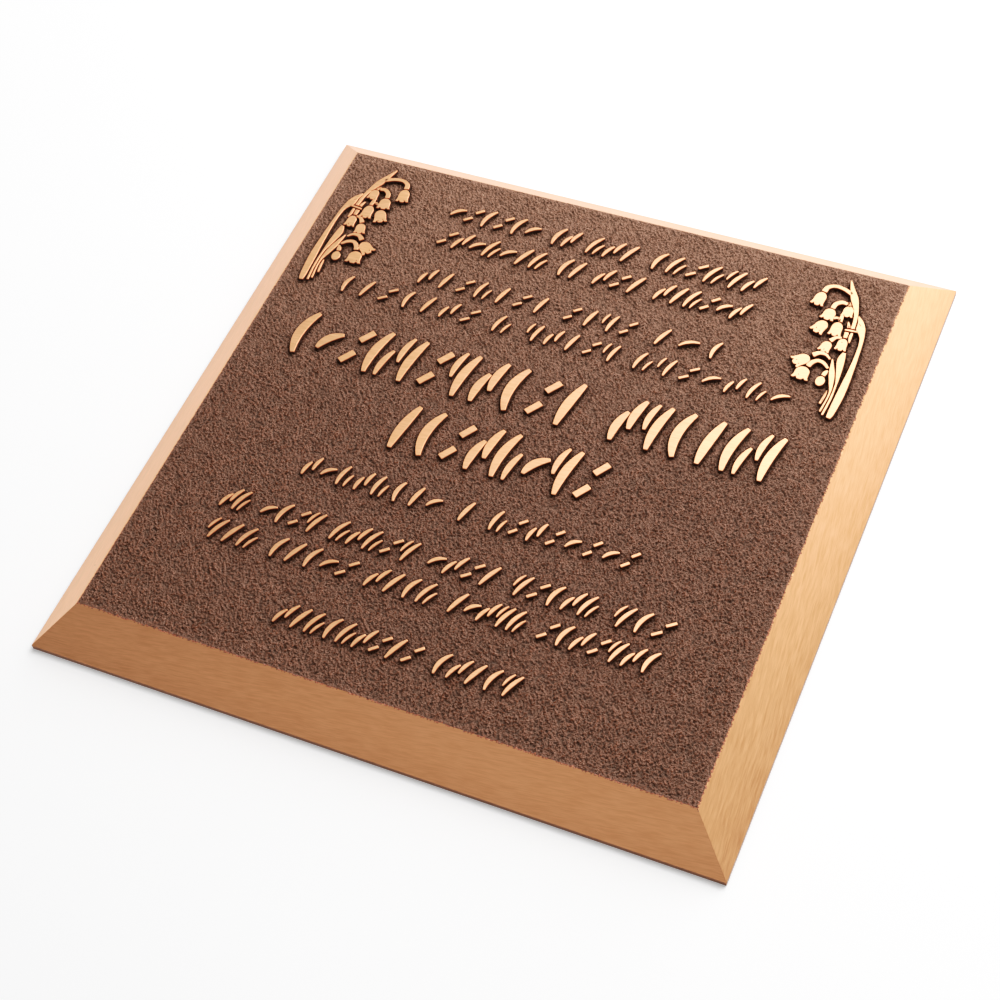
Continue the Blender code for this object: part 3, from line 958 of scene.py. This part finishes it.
def dot_outline(x, y):
    turns = [2 * math.pi * side / DOT_SIDES for side in range(DOT_SIDES)]
    return [Vector((x + DOT_RADIUS * math.cos(turn), y + DOT_RADIUS * math.sin(turn))) for turn in turns]


def mirrored(outlines):
    return [[Vector((-point.x, point.y)) for point in outline] for outline in outlines]


def make_camera():
    back = Vector((
        math.sin(AZIMUTH) * math.cos(ELEVATION),
        -math.cos(AZIMUTH) * math.cos(ELEVATION),
        math.sin(ELEVATION),
    ))
    right = Vector((0, 0, 1)).cross(back).normalized()
    up = back.cross(right)
    rolled_right = math.cos(ROLL) * right + math.sin(ROLL) * up
    rolled_up = math.cos(ROLL) * up - math.sin(ROLL) * right
    camera = bpy.data.objects.new("camera", bpy.data.cameras.new("camera"))
    camera.data.sensor_width = SENSOR_WIDTH
    camera.data.lens = LENS
    camera.data.clip_start = CLIP_START
    turn = Matrix((rolled_right, rolled_up, back)).transposed().to_4x4()
    camera.matrix_world = Matrix.Translation(TARGET + back * DISTANCE) @ turn
    bpy.context.scene.collection.objects.link(camera)
    bpy.context.scene.camera = camera


def add_light(light):
    data = bpy.data.lights.new(light.name, "AREA")
    data.shape = "RECTANGLE"
    data.size, data.size_y = light.size
    data.energy = light.power
    lamp = bpy.data.objects.new(light.name, data)
    lamp.location = light.place
    lamp.rotation_euler = (Vector((0, 0, 0)) - Vector(light.place)).to_track_quat("-Z", "Y").to_euler()
    bpy.context.scene.collection.objects.link(lamp)


def make_stage():
    mesh = bpy.data.meshes.new("floor")
    mesh.from_pydata(square_corners(FLOOR_HALF, 0), [], [(0, 1, 2, 3)])
    floor = add_piece("floor", mesh, [floor_material()])
    world = bpy.data.worlds.new("studio")
    world.use_nodes = True
    background = world.node_tree.nodes["Background"]
    background.inputs["Color"].default_value = WHITE
    background.inputs["Strength"].default_value = WORLD_LIGHT
    bpy.context.scene.world = world
    for light in LIGHTS:
        add_light(light)
    set_tone_curve()


def set_tone_curve():
    """Plain colours with the soft shoulder and toe of a camera's own curve."""
    view = bpy.context.scene.view_settings
    view.view_transform = "Standard"
    view.look = "None"
    view.use_curve_mapping = True
    mapping = view.curve_mapping
    mapping.white_level = (TONE_WHITE, TONE_WHITE, TONE_WHITE)
    curve = mapping.curves[3]
    for light, shown in TONE_POINTS:
        curve.points.new(light / TONE_WHITE, shown)
    mapping.update()


make_camera()
make_casting([bevel_material(), back_material()])

order = random.Random(FIGURE_SEED)
strokes = [outline for row in ROWS for outline in row_outlines(row, order)]
spray = [ribbon_outline(list(smooth_points(leaf, LEAF_STATIONS))) for leaf in LEAVES]
spray += [ribbon_outline(list(smooth_points(stalk, STALK_STATIONS))) for stalk in (*STALKS, FINE_STALK)]
spray += [flower_outline(flower) for flower in FLOWERS] + [bud_outline(BUD)]
grooves = [crown_groove(flower) for flower in (*FLOWERS, BUD)]
grooves.append(ribbon_outline([Vector((x, y, GROOVE_WIDTH)) for x, y in LEAF_GROOVE]))

make_ground(ground_material(), strokes + spray + mirrored(spray))
bright_relief = relief_material()
make_relief("raised_strokes", strokes, STROKE_CORNER, bright_relief)
make_relief("spray_right", spray, SPRAY_CORNER, bright_relief,
            grooves + [dot_outline(*dot) for dot in DOTS_RIGHT])
make_relief("spray_left", mirrored(spray), SPRAY_CORNER, bright_relief,
            mirrored(grooves) + [dot_outline(*dot) for dot in DOTS_LEFT])

make_stage()
